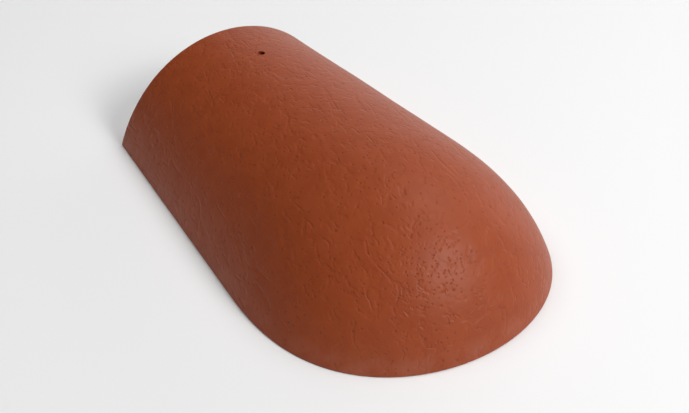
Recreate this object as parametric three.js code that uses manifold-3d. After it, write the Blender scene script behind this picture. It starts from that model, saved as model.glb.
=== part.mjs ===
// Ridge end tile: a tapered, arched roof tile of fired clay whose wide end is closed by a rounded nose.
// It closes the low end of a hip or the end of a ridge, and the next tile laps over its narrow, open end.
// Millimetres, +Z up. X runs across the tile and Y along it, with the nose towards -Y.
// The origin is on the plane that the rim beds on, under the middle of the tile.

import * as THREE from "three";
import { mergeGeometries, mergeVertices } from "three/addons/utils/BufferGeometryUtils.js";
import Module from "manifold-3d";

// Driving dimensions of the outside
const LENGTH = 420;
const NOSE_LENGTH = 175;
const WIDE_END = { halfWidth: 136, height: 104.5 };
const NARROW_END = { halfWidth: 120.5, height: 91.5 };
const WALL = 12;

// The nose's plan is the curve (x / half width)^2 + (way ahead / nose length)^NOSE_POWER = 1. An ellipse
// has power 2. A higher power turns in more gently from the barrel and is blunter at the tip.
const NOSE_POWER = 2.6;

// Slope of the section where its crown arc meets its flank arc, and where the flank meets the rim
const SHOULDER_SLOPE = THREE.MathUtils.degToRad(45);
const RIM_SLOPE = THREE.MathUtils.degToRad(70);

// Nail hole near the narrow end, a little off the crown line
const NAIL_HOLE_RADIUS = 3.5;
const NAIL_HOLE_FROM_END = 66.5;
const NAIL_HOLE_OFFSET = 6;

// Facets
const CROWN_FACET_HALF_WIDTH = 10;
const CROWN_ARC_FACETS = 12;
const FLANK_ARC_FACETS = 6;
const BARREL_FACETS = 8;
const NOSE_FACETS = 36;
const HOLE_FACETS = 24;

const CLAY_COLOUR = 0x9a4a30;
const CLAY_ROUGHNESS = 0.62;

const NOSE_CENTRE = -LENGTH / 2 + NOSE_LENGTH;
const OPEN_END = LENGTH / 2;
const BARREL_LENGTH = OPEN_END - NOSE_CENTRE;

// The outer form, and the inner form that leaves the wall all round. A wall that leans measures more
// across than through, so the rim is wider than the wall is thick.
const RIM_WIDTH = WALL / Math.sin(RIM_SLOPE);
const thinned = ({ halfWidth, height }) => ({ halfWidth: halfWidth - RIM_WIDTH, height: height - WALL });
const OUTSIDE = { wide: WIDE_END, narrow: NARROW_END, noseLength: NOSE_LENGTH };
const INSIDE = {
  wide: thinned(WIDE_END),
  narrow: thinned(NARROW_END),
  noseLength: NOSE_LENGTH - RIM_WIDTH,
};

// Radii of the crown arc and of the flank arc, tangent to each other, that give a half width and a height.
function arcRadii({ halfWidth, height }) {
  const crownAcross = Math.sin(SHOULDER_SLOPE);
  const flankAcross = Math.sin(RIM_SLOPE) - crownAcross;
  const crownDrop = 1 - Math.cos(SHOULDER_SLOPE);
  const flankDrop = Math.cos(SHOULDER_SLOPE) - Math.cos(RIM_SLOPE);
  const determinant = crownAcross * flankDrop - flankAcross * crownDrop;
  return {
    crown: (halfWidth * flankDrop - height * flankAcross) / determinant,
    flank: (height * crownAcross - halfWidth * crownDrop) / determinant,
  };
}

// The section from rim to crown, as shares of its half width and of its height. The last step is the flat
// facet that runs along the crown.
function sectionShares(size) {
  const { crown, flank } = arcRadii(size);
  const facetSlope = Math.asin(CROWN_FACET_HALF_WIDTH / crown);
  const slopes = [];
  for (let i = 0; i < FLANK_ARC_FACETS; i++)
    slopes.push(THREE.MathUtils.lerp(RIM_SLOPE, SHOULDER_SLOPE, i / FLANK_ARC_FACETS));
  for (let i = 0; i <= CROWN_ARC_FACETS; i++)
    slopes.push(THREE.MathUtils.lerp(SHOULDER_SLOPE, facetSlope, i / CROWN_ARC_FACETS));
  const shares = slopes.map((slope) => {
    const onCrown = Math.min(slope, SHOULDER_SLOPE);
    const onFlank = Math.max(slope, SHOULDER_SLOPE);
    const across =
      crown * Math.sin(onCrown) + flank * (Math.sin(onFlank) - Math.sin(SHOULDER_SLOPE));
    const drop =
      crown * (1 - Math.cos(onCrown)) + flank * (Math.cos(SHOULDER_SLOPE) - Math.cos(onFlank));
    return { across: across / size.halfWidth, up: (size.height - drop) / size.height };
  });
  shares[0].up = 0;
  shares.push({ across: 0, up: shares.at(-1).up });
  return shares;
}

// Where the section lines start along the rim: down the left flank, round the nose and up the right flank.
// side runs from -1, the left flank, to 1, the right one. ahead is how far the line points to the nose.
function rimStations() {
  const stations = [];
  for (let i = 0; i < BARREL_FACETS; i++)
    stations.push({ from: OPEN_END - (BARREL_LENGTH * i) / BARREL_FACETS, side: -1, ahead: 0 });
  for (let i = 0; i <= NOSE_FACETS; i++) {
    const turn = Math.PI * (i / NOSE_FACETS - 0.5);
    stations.push({ from: NOSE_CENTRE, side: Math.sin(turn), ahead: Math.cos(turn) });
  }
  for (let i = 1; i <= BARREL_FACETS; i++)
    stations.push({ from: NOSE_CENTRE + (BARREL_LENGTH * i) / BARREL_FACETS, side: 1, ahead: 0 });
  return stations;
}

// One row of points per rim station, each row from the rim to the crown. The taper runs on round the
// nose, so that barrel and nose meet with no edge.
function formRows({ wide, narrow, noseLength }) {
  const shares = sectionShares(wide);
  return rimStations().map(({ from, side, ahead }) =>
    shares.map(({ across, up }) => {
      const y = from - noseLength * (ahead * across) ** (2 / NOSE_POWER);
      const taper = (y - NOSE_CENTRE) / BARREL_LENGTH;
      const halfWidth = THREE.MathUtils.lerp(wide.halfWidth, narrow.halfWidth, taper);
      const height = THREE.MathUtils.lerp(wide.height, narrow.height, taper);
      return new THREE.Vector3(halfWidth * side * across, y, height * up);
    }),
  );
}

// The surface through rows of points that all have the same length.
function surface(rows) {
  const length = rows[0].length;
  const index = [];
  for (let i = 0; i + 1 < rows.length; i++)
    for (let j = 0; j + 1 < length; j++) {
      const a = i * length + j;
      const b = a + length;
      index.push(a, b, b + 1, a, b + 1, a + 1);
    }
  return new THREE.BufferGeometry().setFromPoints(rows.flat()).setIndex(index);
}

// The shell: outer skin, inner skin facing the other way, the rim between them and the cut open end.
function shellGeometry() {
  const outer = formRows(OUTSIDE);
  const inner = formRows(INSIDE);
  const endSection = (rows) => [...rows.at(-1), ...rows[0].slice(0, -1).reverse()];
  const skins = [
    surface(outer),
    surface([...inner].reverse()),
    surface([outer.map((row) => row[0]), inner.map((row) => row[0])]),
    surface([endSection(outer), endSection(inner)]),
  ];
  return mergeGeometries(skins);
}

function nailHoleGeometry() {
  const cutter = new THREE.CylinderGeometry(
    NAIL_HOLE_RADIUS,
    NAIL_HOLE_RADIUS,
    2 * WIDE_END.height,
    HOLE_FACETS,
  );
  cutter.rotateX(Math.PI / 2);
  cutter.translate(NAIL_HOLE_OFFSET, OPEN_END - NAIL_HOLE_FROM_END, NARROW_END.height);
  return cutter;
}

const wasm = await Module();
wasm.setup();

const WELD_DISTANCE = 1e-3;

function toSolid(geometry) {
  const positions = new THREE.BufferGeometry()
    .setAttribute("position", geometry.getAttribute("position"))
    .setIndex(geometry.index);
  const welded = mergeVertices(positions, WELD_DISTANCE);
  return new wasm.Manifold(
    new wasm.Mesh({
      numProp: 3,
      vertProperties: welded.getAttribute("position").array,
      triVerts: new Uint32Array(welded.index.array),
    }),
  );
}

function toGeometry(solid) {
  const { vertProperties, triVerts } = solid.getMesh();
  const geometry = new THREE.BufferGeometry()
    .setAttribute("position", new THREE.BufferAttribute(vertProperties, 3))
    .setIndex(new THREE.BufferAttribute(triVerts, 1));
  geometry.computeVertexNormals();
  return geometry;
}

const clay = new THREE.MeshStandardMaterial({
  color: CLAY_COLOUR,
  roughness: CLAY_ROUGHNESS,
  metalness: 0,
});

const tile = new THREE.Mesh(
  toGeometry(toSolid(shellGeometry()).subtract(toSolid(nailHoleGeometry()))),
  clay,
);
tile.name = "ridge_end_tile";

const part = new THREE.Group();
part.add(tile);

export default part;
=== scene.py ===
"""Ridge end tile of fired clay: the fine surface, the clay's finish, and a plain studio round it.

Metres, +Z up, in the solid's own frame: X across the tile, Y along it, the nose towards -Y.
"""

import math

import bmesh
import bpy
import numpy as np
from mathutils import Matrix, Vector, noise


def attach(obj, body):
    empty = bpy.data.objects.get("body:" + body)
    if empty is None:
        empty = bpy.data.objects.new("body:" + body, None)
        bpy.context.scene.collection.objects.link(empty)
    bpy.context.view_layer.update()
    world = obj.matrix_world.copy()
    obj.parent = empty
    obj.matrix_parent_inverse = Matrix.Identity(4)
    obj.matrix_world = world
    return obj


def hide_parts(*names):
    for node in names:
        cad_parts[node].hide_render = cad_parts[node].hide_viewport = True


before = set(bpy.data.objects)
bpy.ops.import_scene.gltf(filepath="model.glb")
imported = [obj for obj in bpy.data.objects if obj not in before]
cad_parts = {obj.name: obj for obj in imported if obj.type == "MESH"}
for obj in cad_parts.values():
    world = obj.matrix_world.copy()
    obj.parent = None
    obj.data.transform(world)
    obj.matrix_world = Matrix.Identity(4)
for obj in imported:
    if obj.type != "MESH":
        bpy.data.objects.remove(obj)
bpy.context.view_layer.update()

MM = 0.001

# The tile's dimensions, the same as the solid's
LENGTH = 420 * MM
NOSE_LENGTH = 175 * MM
NOSE_POWER = 2.6
WIDE_END = (136 * MM, 104.5 * MM)
NARROW_END = (120.5 * MM, 91.5 * MM)
WALL = 12 * MM
SHOULDER_SLOPE = math.radians(45)
RIM_SLOPE = math.radians(70)
NAIL_HOLE = (6 * MM, 143.5 * MM)
NAIL_HOLE_RADIUS = 3.5 * MM

OPEN_END = LENGTH / 2
NOSE_CENTRE = NOSE_LENGTH - LENGTH / 2
BARREL_LENGTH = OPEN_END - NOSE_CENTRE
RIM_WIDTH = WALL / math.sin(RIM_SLOPE)

# How finely the surface is divided, in general and in the zone round the nail hole
GRID = 3 * MM
NOSE_STEPS = 132
FINE_GRID = 0.7 * MM
FINE_ZONE = 7 * MM
WELD_DISTANCE = 0.01 * MM

# Rounding of the arrises, and where the grid has points within it, as shares of its radius
ARRIS_RADIUS = 1.6 * MM
ARRIS_STEPS = (0, 0.1, 0.3, 0.6)

# Hand-made unevenness: size of the swells, how far they stand out, and the height over which they fade in
SWELL_SIZES = (70 * MM, 28 * MM, 12 * MM)
SWELL_HEIGHTS = (0.35 * MM, 0.12 * MM, 0.05 * MM)
SWELL_FADE = 6 * MM

# The punch that made the nail hole: its shape across and along the tile, how ragged it is, and the lip
# that it pushed up
PUNCH_STRETCH = (0.9, 1.15)
PUNCH_SIDES = 40
PUNCH_RINGS = 24
PUNCH_RAGGEDNESS = 0.2
RAGGED_ROUND = 1.3
RAGGED_DEEP = 6 * MM
BURR_HEIGHT = 0.5 * MM
BURR_WIDTH = 1.1 * MM
BURR_MEAN = 0.6
BURR_SIZE = 3 * MM

# The photograph's view of the tile: degrees, metres, and the lens in millimetres
CAMERA_AZIMUTH = -33.66
CAMERA_ELEVATION = 37.92
CAMERA_DISTANCE = 0.882
CAMERA_TARGET = Vector((-11.8 * MM, -24.7 * MM, 28.3 * MM))
CAMERA_LENS = 53.2


def arc_radii(half_width, height):
    """Radii of the crown arc and of the flank arc, tangent to each other, for a half width and a height."""
    crown_across = math.sin(SHOULDER_SLOPE)
    flank_across = math.sin(RIM_SLOPE) - crown_across
    crown_drop = 1 - math.cos(SHOULDER_SLOPE)
    flank_drop = math.cos(SHOULDER_SLOPE) - math.cos(RIM_SLOPE)
    rows = [[crown_across, flank_across], [crown_drop, flank_drop]]
    return np.linalg.solve(rows, [half_width, height])


def section_shares(slopes, half_width, height):
    """Where the section has these slopes, as shares of its half width and of its height."""
    crown, flank = arc_radii(half_width, height)
    on_crown = np.minimum(slopes, SHOULDER_SLOPE)
    on_flank = np.maximum(slopes, SHOULDER_SLOPE)
    across = crown * np.sin(on_crown) + flank * (np.sin(on_flank) - math.sin(SHOULDER_SLOPE))
    drop = crown * (1 - np.cos(on_crown)) + flank * (math.cos(SHOULDER_SLOPE) - np.cos(on_flank))
    return across / half_width, 1 - drop / height


def divided(start, end, spacing):
    """Evenly spaced values from start up to, but without, end."""
    count = max(1, math.ceil((end - start) / spacing))
    return list(np.linspace(start, end, count, endpoint=False))


def arris_steps():
    return [ARRIS_RADIUS * step for step in ARRIS_STEPS]


def lengths_from_rim():
    """Arc lengths up the section from the rim to the crown, closer at the arris and beside the nail hole."""
    crown, flank = arc_radii(*WIDE_END)
    whole = flank * (RIM_SLOPE - SHOULDER_SLOPE) + crown * SHOULDER_SLOPE
    fine_from = whole - NAIL_HOLE[0] - FINE_ZONE
    lengths = arris_steps() + divided(ARRIS_RADIUS, fine_from, GRID)
    return np.array(lengths + divided(fine_from, whole, FINE_GRID) + [whole])


def slopes_at(lengths):
    """The section's slope at arc lengths from the rim."""
    crown, flank = arc_radii(*WIDE_END)
    flank_length = flank * (RIM_SLOPE - SHOULDER_SLOPE)
    on_flank = RIM_SLOPE - lengths / flank
    on_crown = SHOULDER_SLOPE - (lengths - flank_length) / crown
    return np.where(lengths < flank_length, on_flank, np.maximum(on_crown, 0))


def lengths_from_end():
    """Distances from the open end to the nose's centre, closer at the arris and beside the nail hole."""
    hole = OPEN_END - NAIL_HOLE[1]
    lengths = arris_steps() + divided(ARRIS_RADIUS, hole - FINE_ZONE, GRID)
    lengths += divided(hole - FINE_ZONE, hole + FINE_ZONE, FINE_GRID)
    return np.array(lengths + divided(hole + FINE_ZONE, BARREL_LENGTH, GRID))


def rim_stations():
    """Where the section lines start: down the left flank, round the nose and up the right flank.

    Gives for each the y that it starts from, its side from -1 to 1, and how far it points to the nose.
    """
    barrel = OPEN_END - lengths_from_end()
    turns = np.linspace(-math.pi / 2, math.pi / 2, NOSE_STEPS + 1)
    start = np.concatenate([barrel, np.full(len(turns), NOSE_CENTRE), barrel[::-1]])
    side = np.concatenate([np.full(len(barrel), -1.0), np.sin(turns), np.full(len(barrel), 1.0)])
    ahead = np.concatenate([np.zeros(len(barrel)), np.cos(turns), np.zeros(len(barrel))])
    return start[:, None], side[:, None], ahead[:, None]


def form_points(slopes, wide, narrow, nose_length):
    """A grid of points on the outer or the inner form: a row per rim station, from the rim to the crown."""
    start, side, ahead = rim_stations()
    across, up = section_shares(slopes, *wide)
    y = start - nose_length * (ahead * across) ** (2 / NOSE_POWER)
    taper = (y - NOSE_CENTRE) / BARREL_LENGTH
    half_width = wide[0] + taper * (narrow[0] - wide[0])
    height = wide[1] + taper * (narrow[1] - wide[1])
    return np.stack([half_width * side * across, y, height * up], axis=-1)


def thinned(half_width, height):
    """The inner form's half width and height for the outer form's."""
    return half_width - RIM_WIDTH, height - WALL


def worn_back(distance):
    """How far a rounded arris lies behind the full form at a distance from the edge."""
    into = np.clip(1 - distance / ARRIS_RADIUS, 0, 1)
    return ARRIS_RADIUS * (1 - np.sqrt(1 - into**2))


def skins():
    """The outer and the inner skin as two grids of points, drawn together along the rim and the open end."""
    lengths = lengths_from_rim()
    slopes = slopes_at(lengths)
    outer = form_points(slopes, WIDE_END, NARROW_END, NOSE_LENGTH)
    inner = form_points(slopes, thinned(*WIDE_END), thinned(*NARROW_END), NOSE_LENGTH - RIM_WIDTH)
    wear = worn_back(lengths) + worn_back(OPEN_END - outer[..., 1])
    through = inner - outer
    step = through / np.linalg.norm(through, axis=-1, keepdims=True) * wear[..., None]
    return outer + step, inner - step


def grid_faces(first, rows, columns):
    """Quads over a grid of points whose numbers start at first."""
    numbers = first + np.arange(rows * columns).reshape(rows, columns)
    corners = [numbers[:-1, :-1], numbers[1:, :-1], numbers[1:, 1:], numbers[:-1, 1:]]
    return np.stack(corners, axis=-1).reshape(-1, 4)


def strip_faces(edge, other):
    """Quads between two rows of points."""
    return np.stack([edge[:-1], other[:-1], other[1:], edge[1:]], axis=-1)


def shell_mesh():
    """The closed shell, with how far each point belongs to the weather side in its own attribute."""
    outer, inner = skins()
    rows, columns = outer.shape[:2]
    size = rows * columns
    outer_numbers = np.arange(size).reshape(rows, columns)
    inner_numbers = outer_numbers + size
    around = [np.concatenate([n[-1], n[0, ::-1]]) for n in (outer_numbers, inner_numbers)]
    faces = [
        grid_faces(0, rows, columns),
        grid_faces(size, rows, columns)[:, ::-1],
        strip_faces(outer_numbers[:, 0], inner_numbers[:, 0]),
        strip_faces(*around),
    ]
    mesh = bpy.data.meshes.new("ridge_end_tile")
    points = np.concatenate([outer.reshape(-1, 3), inner.reshape(-1, 3)])
    mesh.from_pydata(points.tolist(), [], np.concatenate(faces).tolist())
    weather = mesh.attributes.new("weather_side", "FLOAT", "POINT")
    weather.data.foreach_set("value", np.repeat([1.0, 0.0], size).astype(np.float32))
    return mesh


def weld(mesh):
    """Joins the points that the section lines share along the crown."""
    work = bmesh.new()
    work.from_mesh(mesh)
    bmesh.ops.remove_doubles(work, verts=work.verts, dist=WELD_DISTANCE)
    work.to_mesh(mesh)
    work.free()


def swell(point):
    """How far the clay stands out at a point, from the swells of all sizes."""
    return sum(
        height * noise.noise(point / size)
        for size, height in zip(SWELL_SIZES, SWELL_HEIGHTS)
    )


def burr(point):
    """The lip that the punch pushed up round the nail hole."""
    across = Vector((point.x - NAIL_HOLE[0], point.y - NAIL_HOLE[1]))
    off_edge = (across.length - NAIL_HOLE_RADIUS) / BURR_WIDTH
    ragged = BURR_MEAN + noise.noise(point / BURR_SIZE)
    return BURR_HEIGHT * ragged * math.exp(-off_edge * off_edge)


def make_uneven(mesh):
    """Moves the skins in and out by fractions of a millimetre. The rim stays flat."""
    normals = [vertex.normal.copy() for vertex in mesh.vertices]
    weather = mesh.attributes["weather_side"].data
    for vertex, normal in zip(mesh.vertices, normals):
        point = vertex.co.copy()
        if point.z < ARRIS_RADIUS:
            continue
        near_rim = min(1, (point.z - ARRIS_RADIUS) / SWELL_FADE)
        lift = swell(point) * near_rim
        if weather[vertex.index].value > 0.5:
            lift += burr(point)
        vertex.co = point + normal * lift


def punch_ring(work, z):
    """One ragged ring of the punch's points at a height."""
    ring = []
    for i in range(PUNCH_SIDES):
        turn = 2 * math.pi * i / PUNCH_SIDES
        direction = Vector((math.cos(turn), math.sin(turn), 0))
        ragged = noise.noise(direction * RAGGED_ROUND + Vector((0, 0, z / RAGGED_DEEP)))
        radius = NAIL_HOLE_RADIUS * (1 + PUNCH_RAGGEDNESS * ragged)
        stretched = Vector((direction.x * PUNCH_STRETCH[0], direction.y * PUNCH_STRETCH[1], 0))
        ring.append(work.verts.new(stretched * radius + Vector((*NAIL_HOLE, z))))
    return ring


def nail_punch_mesh():
    """A closed punch through the crown, worked a little longer along the tile."""
    work = bmesh.new()
    heights = np.linspace(NARROW_END[1] - 3 * WALL, NARROW_END[1] + 2 * WALL, PUNCH_RINGS)
    rings = [punch_ring(work, z) for z in heights]
    for low, high in zip(rings, rings[1:]):
        for i in range(PUNCH_SIDES):
            j = (i + 1) % PUNCH_SIDES
            work.faces.new((low[i], low[j], high[j], high[i]))
    work.faces.new(rings[0][::-1])
    work.faces.new(rings[-1])
    mesh = bpy.data.meshes.new("nail_punch")
    work.to_mesh(mesh)
    work.free()
    return mesh


def linked(name, data):
    """A new object in the scene."""
    thing = bpy.data.objects.new(name, data)
    bpy.context.scene.collection.objects.link(thing)
    return thing


def punched(tile):
    """The tile's mesh with the nail hole cut through it."""
    punch = linked("nail_punch", nail_punch_mesh())
    cut = tile.modifiers.new("nail_hole", "BOOLEAN")
    cut.operation = "DIFFERENCE"
    cut.solver = "EXACT"
    cut.object = punch
    graph = bpy.context.evaluated_depsgraph_get()
    mesh = bpy.data.meshes.new_from_object(tile.evaluated_get(graph))
    tile.modifiers.clear()
    bpy.data.objects.remove(punch)
    return mesh


class Nodes:
    """Builds one material's node tree in short lines."""

    def __init__(self, name):
        self.material = bpy.data.materials.new(name)
        self.material.use_nodes = True
        self.tree = self.material.node_tree
        self.tree.nodes.clear()

    def add(self, kind, inputs=(), **settings):
        """A node with its settings, and its inputs by name or number: a value, or another node's output."""
        node = self.tree.nodes.new(kind)
        for name, value in settings.items():
            setattr(node, name, value)
        for key, value in dict(inputs).items():
            if isinstance(value, bpy.types.NodeSocket):
                self.tree.links.new(value, node.inputs[key])
            else:
                node.inputs[key].default_value = value
        return node

    def math(self, operation, a, b=0.0, c=0.0):
        return self.add("ShaderNodeMath", {0: a, 1: b, 2: c}, operation=operation).outputs[0]

    def vector(self, operation, a, b, c=(0, 0, 0)):
        """The node of a vector sum, whose result is among its outputs."""
        return self.add("ShaderNodeVectorMath", {0: a, 1: b, 2: c}, operation=operation)

    def noise(self, place, size, detail, roughness=0.5, distortion=0.0, offset=(0, 0, 0)):
        """Soft noise from 0 to 1 whose blotches are about size across, taken at an offset from place."""
        inputs = {
            "Vector": self.vector("ADD", place, offset).outputs["Vector"],
            "Scale": 1 / size,
            "Detail": detail,
            "Roughness": roughness,
            "Distortion": distortion,
        }
        return self.add("ShaderNodeTexNoise", inputs).outputs["Fac"]

    def ramp(self, value, low, high, to_low=0.0, to_high=1.0):
        """value from low to high, spread smoothly over to_low to to_high."""
        inputs = {"Value": value, "From Min": low, "From Max": high, "To Min": to_low, "To Max": to_high}
        return self.add("ShaderNodeMapRange", inputs, interpolation_type="SMOOTHSTEP").outputs["Result"]

    def mask(self, place, shown, **pattern):
        """Noise as a mask: 0 up to the first value of shown, and softly up to 1 at the second."""
        return self.ramp(self.noise(place, **pattern), *shown)

    def mix(self, share, a, b):
        inputs = {"Factor": share, 6: a, 7: b}
        return self.add("ShaderNodeMix", inputs, data_type="RGBA").outputs[2]

    def bump(self, height, distance):
        inputs = {"Height": height, "Distance": distance, "Strength": 1.0}
        return self.add("ShaderNodeBump", inputs).outputs["Normal"]

    def finished(self, shader):
        """The material, showing this shader."""
        self.add("ShaderNodeOutputMaterial", {"Surface": shader.outputs[0]})
        return self.material


CLAY_RED = (0.325, 0.0645, 0.0202, 1)
CLAY_DARK = (0.305, 0.0585, 0.018, 1)
CLAY_BLOTCHES = {"size": 16 * MM, "detail": 4, "shown": (0.35, 0.65)}
CLAY_INSIDE = (0.34, 0.082, 0.033, 1)
SKIN_ROUGHNESS = 0.45
INSIDE_ROUGHNESS = 0.8
SPECULAR_LEVEL = 0.22

# Pits: how far apart, their radius and depth, in the open and where they crowd, the middle and radius of
# the patch on the nose, the painted shade that darkens them and how strongly, and how much rougher they are.
# The jog makes them uneven.
PIT_SPACING = 5.8 * MM
PIT_RADIUS = 1.6 * MM
PIT_DEPTH = 0.32 * MM
CROWDED_SPACING = 3.7 * MM
CROWDED_RADIUS = 1.35 * MM
CROWDED_PATCHES = {"size": 34 * MM, "detail": 1, "offset": (0, 0.7, 0), "shown": (0.52, 0.68)}
PITTED_PATCH = (-28 * MM, -158 * MM, 72 * MM)
PITTED_RADIUS = 42 * MM
PIT_PAINTED_SHADE = (0.17, 0.03, 0.009, 1)
PIT_SHADE_SHARE = 0.42
PIT_ROUGHNESS = 0.25
JOG_SIZE = 2 * MM
JOG_LENGTH = 1.6 * MM

# Creases along the tile. They run where a noise crosses its middle value: the width and the length of
# its waves, and how far from the middle value the creases reach. One patch of them is on the nose's side.
SHORT_CREASES = (8 * MM, 22 * MM, 0.14)
LONG_CREASES = (22 * MM, 90 * MM, 0.055)
CREASE_WAVER = {"Scale": 1.0, "Detail": 1.5, "Distortion": 0.5}
CREASE_DEPTH = 0.28 * MM
CREASE_TURN = math.radians(14)
SHORT_CREASE_PATCHES = {"size": 8 * MM, "detail": 1, "offset": (0.3, 0, 0), "shown": (0.48, 0.64)}
LONG_CREASE_PATCHES = {"size": 26 * MM, "detail": 2, "offset": (0, 0, 0.4), "shown": (0.5, 0.6)}
CREASED_PATCH = (70 * MM, -125 * MM, 74 * MM)
CREASED_RADIUS = 17 * MM

# The share of a patch's radius within which it shows in full
PATCH_CORE = 0.6

# Soft ripples between the creases, and the clay's grain
RIPPLES = {"size": 8 * MM, "detail": 1.2, "distortion": 0.6}
RIPPLE_HEIGHT = 0.26 * MM
GRAIN = {"size": 2.2 * MM, "detail": 2}
GRAIN_HEIGHT = 0.03 * MM

# Painted shade in and round the nail hole, and painted light from the floor in broken streaks along the foot
HOLE_PAINTED_SHADE = (0.15, 0.022, 0.008, 1)
HOLE_SHADE_WIDTH = 0.3 * MM
FOOT_PAINTED_LIGHT = (0.4, 0.14, 0.09, 1)
FOOT_LIGHT_HEIGHT = 20 * MM
FOOT_LIGHT_FULL_HEIGHT = 8 * MM
FOOT_LIGHT_SHARE = 0.3
FOOT_LIGHT_STREAKS = {"size": 30 * MM, "detail": 4, "roughness": 0.6, "shown": (0.4, 0.65)}


def clay_material():
    """Fired clay: a satin skin outside with pits, creases and ripples, and a rougher, paler one inside."""
    n = Nodes("terracotta")
    place = n.add("ShaderNodeTexCoord").outputs["Object"]
    outside = n.add("ShaderNodeAttribute", attribute_name="weather_side").outputs["Fac"]
    pitted = pit_mask(n, place)
    roughness = n.math("MULTIPLY_ADD", pitted, PIT_ROUGHNESS, skin_roughness(n, outside))
    shader = n.add(
        "ShaderNodeBsdfPrincipled",
        {
            "Base Color": clay_colour(n, place, outside, pitted),
            "Roughness": roughness,
            "Specular IOR Level": SPECULAR_LEVEL,
            "Normal": n.bump(clay_relief(n, place, pitted), MM),
        },
    )
    return n.finished(shader)


def skin_roughness(n, outside):
    return n.ramp(outside, 0.0, 1.0, INSIDE_ROUGHNESS, SKIN_ROUGHNESS)


def clay_colour(n, place, outside, pitted):
    """The clay's colour, with painted shade in the pits and in the nail hole, and painted light from the
    floor along the foot.
    """
    colour = n.mix(n.mask(place, **CLAY_BLOTCHES), CLAY_DARK, CLAY_RED)
    # Painted shade: the pits are darkened in colour
    colour = n.mix(n.math("MULTIPLY", pitted, PIT_SHADE_SHARE), colour, PIT_PAINTED_SHADE)
    # Painted light: the foot is made paler, standing in for light from the floor
    colour = n.mix(foot_light_mask(n, place), colour, FOOT_PAINTED_LIGHT)
    colour = n.mix(outside, CLAY_INSIDE, colour)
    # Painted shade: the nail hole's wall and edge are darkened in colour
    return n.mix(hole_shade_mask(n, place), colour, HOLE_PAINTED_SHADE)


def clay_relief(n, place, pitted):
    """The height of pits, creases, ripples and grain, in millimetres."""
    height = n.math("MULTIPLY", pitted, -PIT_DEPTH / MM)
    height = n.math("MULTIPLY_ADD", crease_mask(n, place), -CREASE_DEPTH / MM, height)
    height = n.math("MULTIPLY_ADD", n.noise(place, **RIPPLES), RIPPLE_HEIGHT / MM, height)
    return n.math("MULTIPLY_ADD", n.noise(place, **GRAIN), GRAIN_HEIGHT / MM, height)


def hole_shade_mask(n, place):
    """Where the nail hole is painted dark as shade: 1 on its wall, and down to 0 just outside it."""
    flat = n.vector("MULTIPLY", place, (1, 1, 0)).outputs["Vector"]
    distance = n.vector("DISTANCE", flat, (*NAIL_HOLE, 0)).outputs["Value"]
    return n.ramp(distance, NAIL_HOLE_RADIUS, NAIL_HOLE_RADIUS + HOLE_SHADE_WIDTH, 1.0, 0.0)


def foot_light_mask(n, place):
    """Painted light from the floor, paler in broken streaks along the foot of the tile."""
    height = n.add("ShaderNodeSeparateXYZ", {0: place}).outputs["Z"]
    low = n.ramp(height, FOOT_LIGHT_FULL_HEIGHT, FOOT_LIGHT_HEIGHT, FOOT_LIGHT_SHARE, 0.0)
    return n.math("MULTIPLY", low, n.mask(place, **FOOT_LIGHT_STREAKS))


def pits(n, place, spacing, radius):
    """Round pits where the middles of random cells lie close to the surface: 1 at their deepest."""
    inputs = {"Vector": place, "Scale": 1 / spacing}
    distance = n.add("ShaderNodeTexVoronoi", inputs).outputs["Distance"]
    return n.ramp(distance, 0.0, radius / spacing, 1.0, 0.0)


def near(n, place, centre, radius):
    """1 close to a centre, and softly down to 0 at a radius from it."""
    distance = n.vector("DISTANCE", place, centre).outputs["Value"]
    return n.ramp(distance, PATCH_CORE * radius, radius, 1.0, 0.0)


def pit_mask(n, place):
    """Uneven pits, thinly spread over the whole skin and crowded in some patches, most of all on the nose."""
    inputs = {"Vector": place, "Scale": 1 / JOG_SIZE, "Detail": 1.0}
    jog = n.add("ShaderNodeTexNoise", inputs).outputs["Color"]
    jogged = n.vector("MULTIPLY_ADD", jog, (JOG_LENGTH,) * 3, place).outputs["Vector"]
    patches = n.mask(place, **CROWDED_PATCHES)
    crowded = n.math("MAXIMUM", patches, near(n, place, PITTED_PATCH, PITTED_RADIUS))
    close = n.math("MULTIPLY", pits(n, jogged, CROWDED_SPACING, CROWDED_RADIUS), crowded)
    return n.math("MAXIMUM", pits(n, jogged, PIT_SPACING, PIT_RADIUS), close)


def crease_lines(n, place, across, along, reach):
    """Wavering lines along the tile, from a noise with waves this wide and long: 1 at their deepest."""
    inputs = {"Vector": place, "Angle": CREASE_TURN}
    turned = n.add("ShaderNodeVectorRotate", inputs, rotation_type="Z_AXIS").outputs[0]
    drawn = n.vector("MULTIPLY", turned, (1 / across, 1 / along, 1 / across)).outputs["Vector"]
    field = n.add("ShaderNodeTexNoise", {"Vector": drawn, **CREASE_WAVER}).outputs["Fac"]
    from_line = n.math("ABSOLUTE", n.math("SUBTRACT", field, 0.5))
    return n.ramp(from_line, 0.0, reach, 1.0, 0.0)


def crease_mask(n, place):
    """Creases that the clay took as it was bent over the mould: many short ones and a few long ones."""
    creased = n.mask(place, **SHORT_CREASE_PATCHES)
    creased = n.math("ADD", creased, near(n, place, CREASED_PATCH, CREASED_RADIUS))
    short = n.math("MULTIPLY", crease_lines(n, place, *SHORT_CREASES), creased)
    parted = n.mask(place, **LONG_CREASE_PATCHES)
    long = n.math("MULTIPLY", crease_lines(n, place, *LONG_CREASES), parted)
    return n.math("MAXIMUM", short, long)


def make_tile():
    mesh = shell_mesh()
    weld(mesh)
    make_uneven(mesh)
    tile = linked("ridge_end_tile_skin", mesh)
    tile.data = punched(tile)
    for face in tile.data.polygons:
        face.use_smooth = True
    tile.data.materials.clear()
    tile.data.materials.append(clay_material())
    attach(tile, "root")
    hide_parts("ridge_end_tile")


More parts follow.
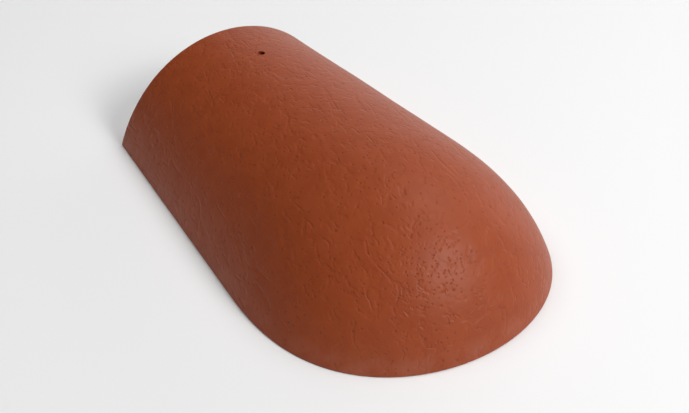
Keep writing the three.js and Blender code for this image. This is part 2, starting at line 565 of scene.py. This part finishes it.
FLOOR_HALF_SIDE = 4.0
FLOOR_WHITE = (0.92, 0.92, 0.92, 1)
FLOOR_ROUGHNESS = 0.9
BACKDROP_STRENGTH = 0.9


def floor_material():
    n = Nodes("floor_white")
    inputs = {"Base Color": FLOOR_WHITE, "Roughness": FLOOR_ROUGHNESS}
    return n.finished(n.add("ShaderNodeBsdfPrincipled", inputs))


def make_floor():
    side = FLOOR_HALF_SIDE
    mesh = bpy.data.meshes.new("floor")
    corners = [(-side, -side, 0), (side, -side, 0), (side, side, 0), (-side, side, 0)]
    mesh.from_pydata(corners, [], [(0, 1, 2, 3)])
    mesh.materials.append(floor_material())
    floor = linked("floor", mesh)


def make_world():
    """A white backdrop all round, which gives no light of its own."""
    world = bpy.data.worlds.new("studio")
    bpy.context.scene.world = world
    world.use_nodes = True
    background = world.node_tree.nodes["Background"]
    background.inputs["Color"].default_value = (1, 1, 1, 1)
    background.inputs["Strength"].default_value = BACKDROP_STRENGTH
    world.cycles_visibility.diffuse = False
    world.cycles_visibility.glossy = False


def towards(azimuth, elevation):
    """The direction out to an azimuth, turned from -Y towards +X, and an elevation, both in degrees."""
    azimuth, elevation = math.radians(azimuth), math.radians(elevation)
    level = math.cos(elevation)
    return Vector((math.sin(azimuth) * level, -math.cos(azimuth) * level, math.sin(elevation)))


# Lights: the azimuth and the elevation that each stands at, in degrees, its side in metres and its watts.
# The fills aren't reflected in the clay's gloss.
SOFTBOXES = {
    "key_softbox": (24, 41, 0.95, 39),
    "low_key_softbox": (17, 32, 0.95, 19),
    "high_softbox": (90, 62, 1.5, 27),
    "right_softbox": (90, 14, 1.5, 12),
    "right_back_softbox": (120, 14, 1.5, 8.5),
    "low_back_softbox": (150, 4, 1.5, 8.5),
    "back_softbox": (146, 42, 1.5, 4),
}
FILLS = {
    "left_fill": (225, 62, 1.5, 25.5),
    "front_left_fill": (320, 15, 1.5, 4.5),
}
LIGHT_DISTANCE = 3.0


def area_light(name, direction, size, power, reflected):
    """A soft square light in a direction from the tile, aimed at it, and seen in its gloss or not."""
    data = bpy.data.lights.new(name, "AREA")
    data.shape = "SQUARE"
    data.size = size
    data.energy = power
    lamp = linked(name, data)
    lamp.location = direction * LIGHT_DISTANCE
    lamp.rotation_mode = "QUATERNION"
    lamp.rotation_quaternion = direction.to_track_quat("Z", "Y")
    lamp.visible_camera = False
    lamp.visible_glossy = reflected


def make_lights():
    for rig, reflected in ((SOFTBOXES, True), (FILLS, False)):
        for name, (azimuth, elevation, size, power) in rig.items():
            area_light(name, towards(azimuth, elevation), size, power, reflected)


def make_camera():
    data = bpy.data.cameras.new("camera")
    data.lens = CAMERA_LENS
    camera = linked("camera", data)
    back = towards(CAMERA_AZIMUTH, CAMERA_ELEVATION)
    camera.location = CAMERA_TARGET + back * CAMERA_DISTANCE
    camera.rotation_mode = "QUATERNION"
    camera.rotation_quaternion = back.to_track_quat("Z", "Y")
    bpy.context.scene.camera = camera


make_camera()
make_tile()
make_floor()
make_world()
make_lights()
bpy.context.scene.view_settings.view_transform = "Standard"
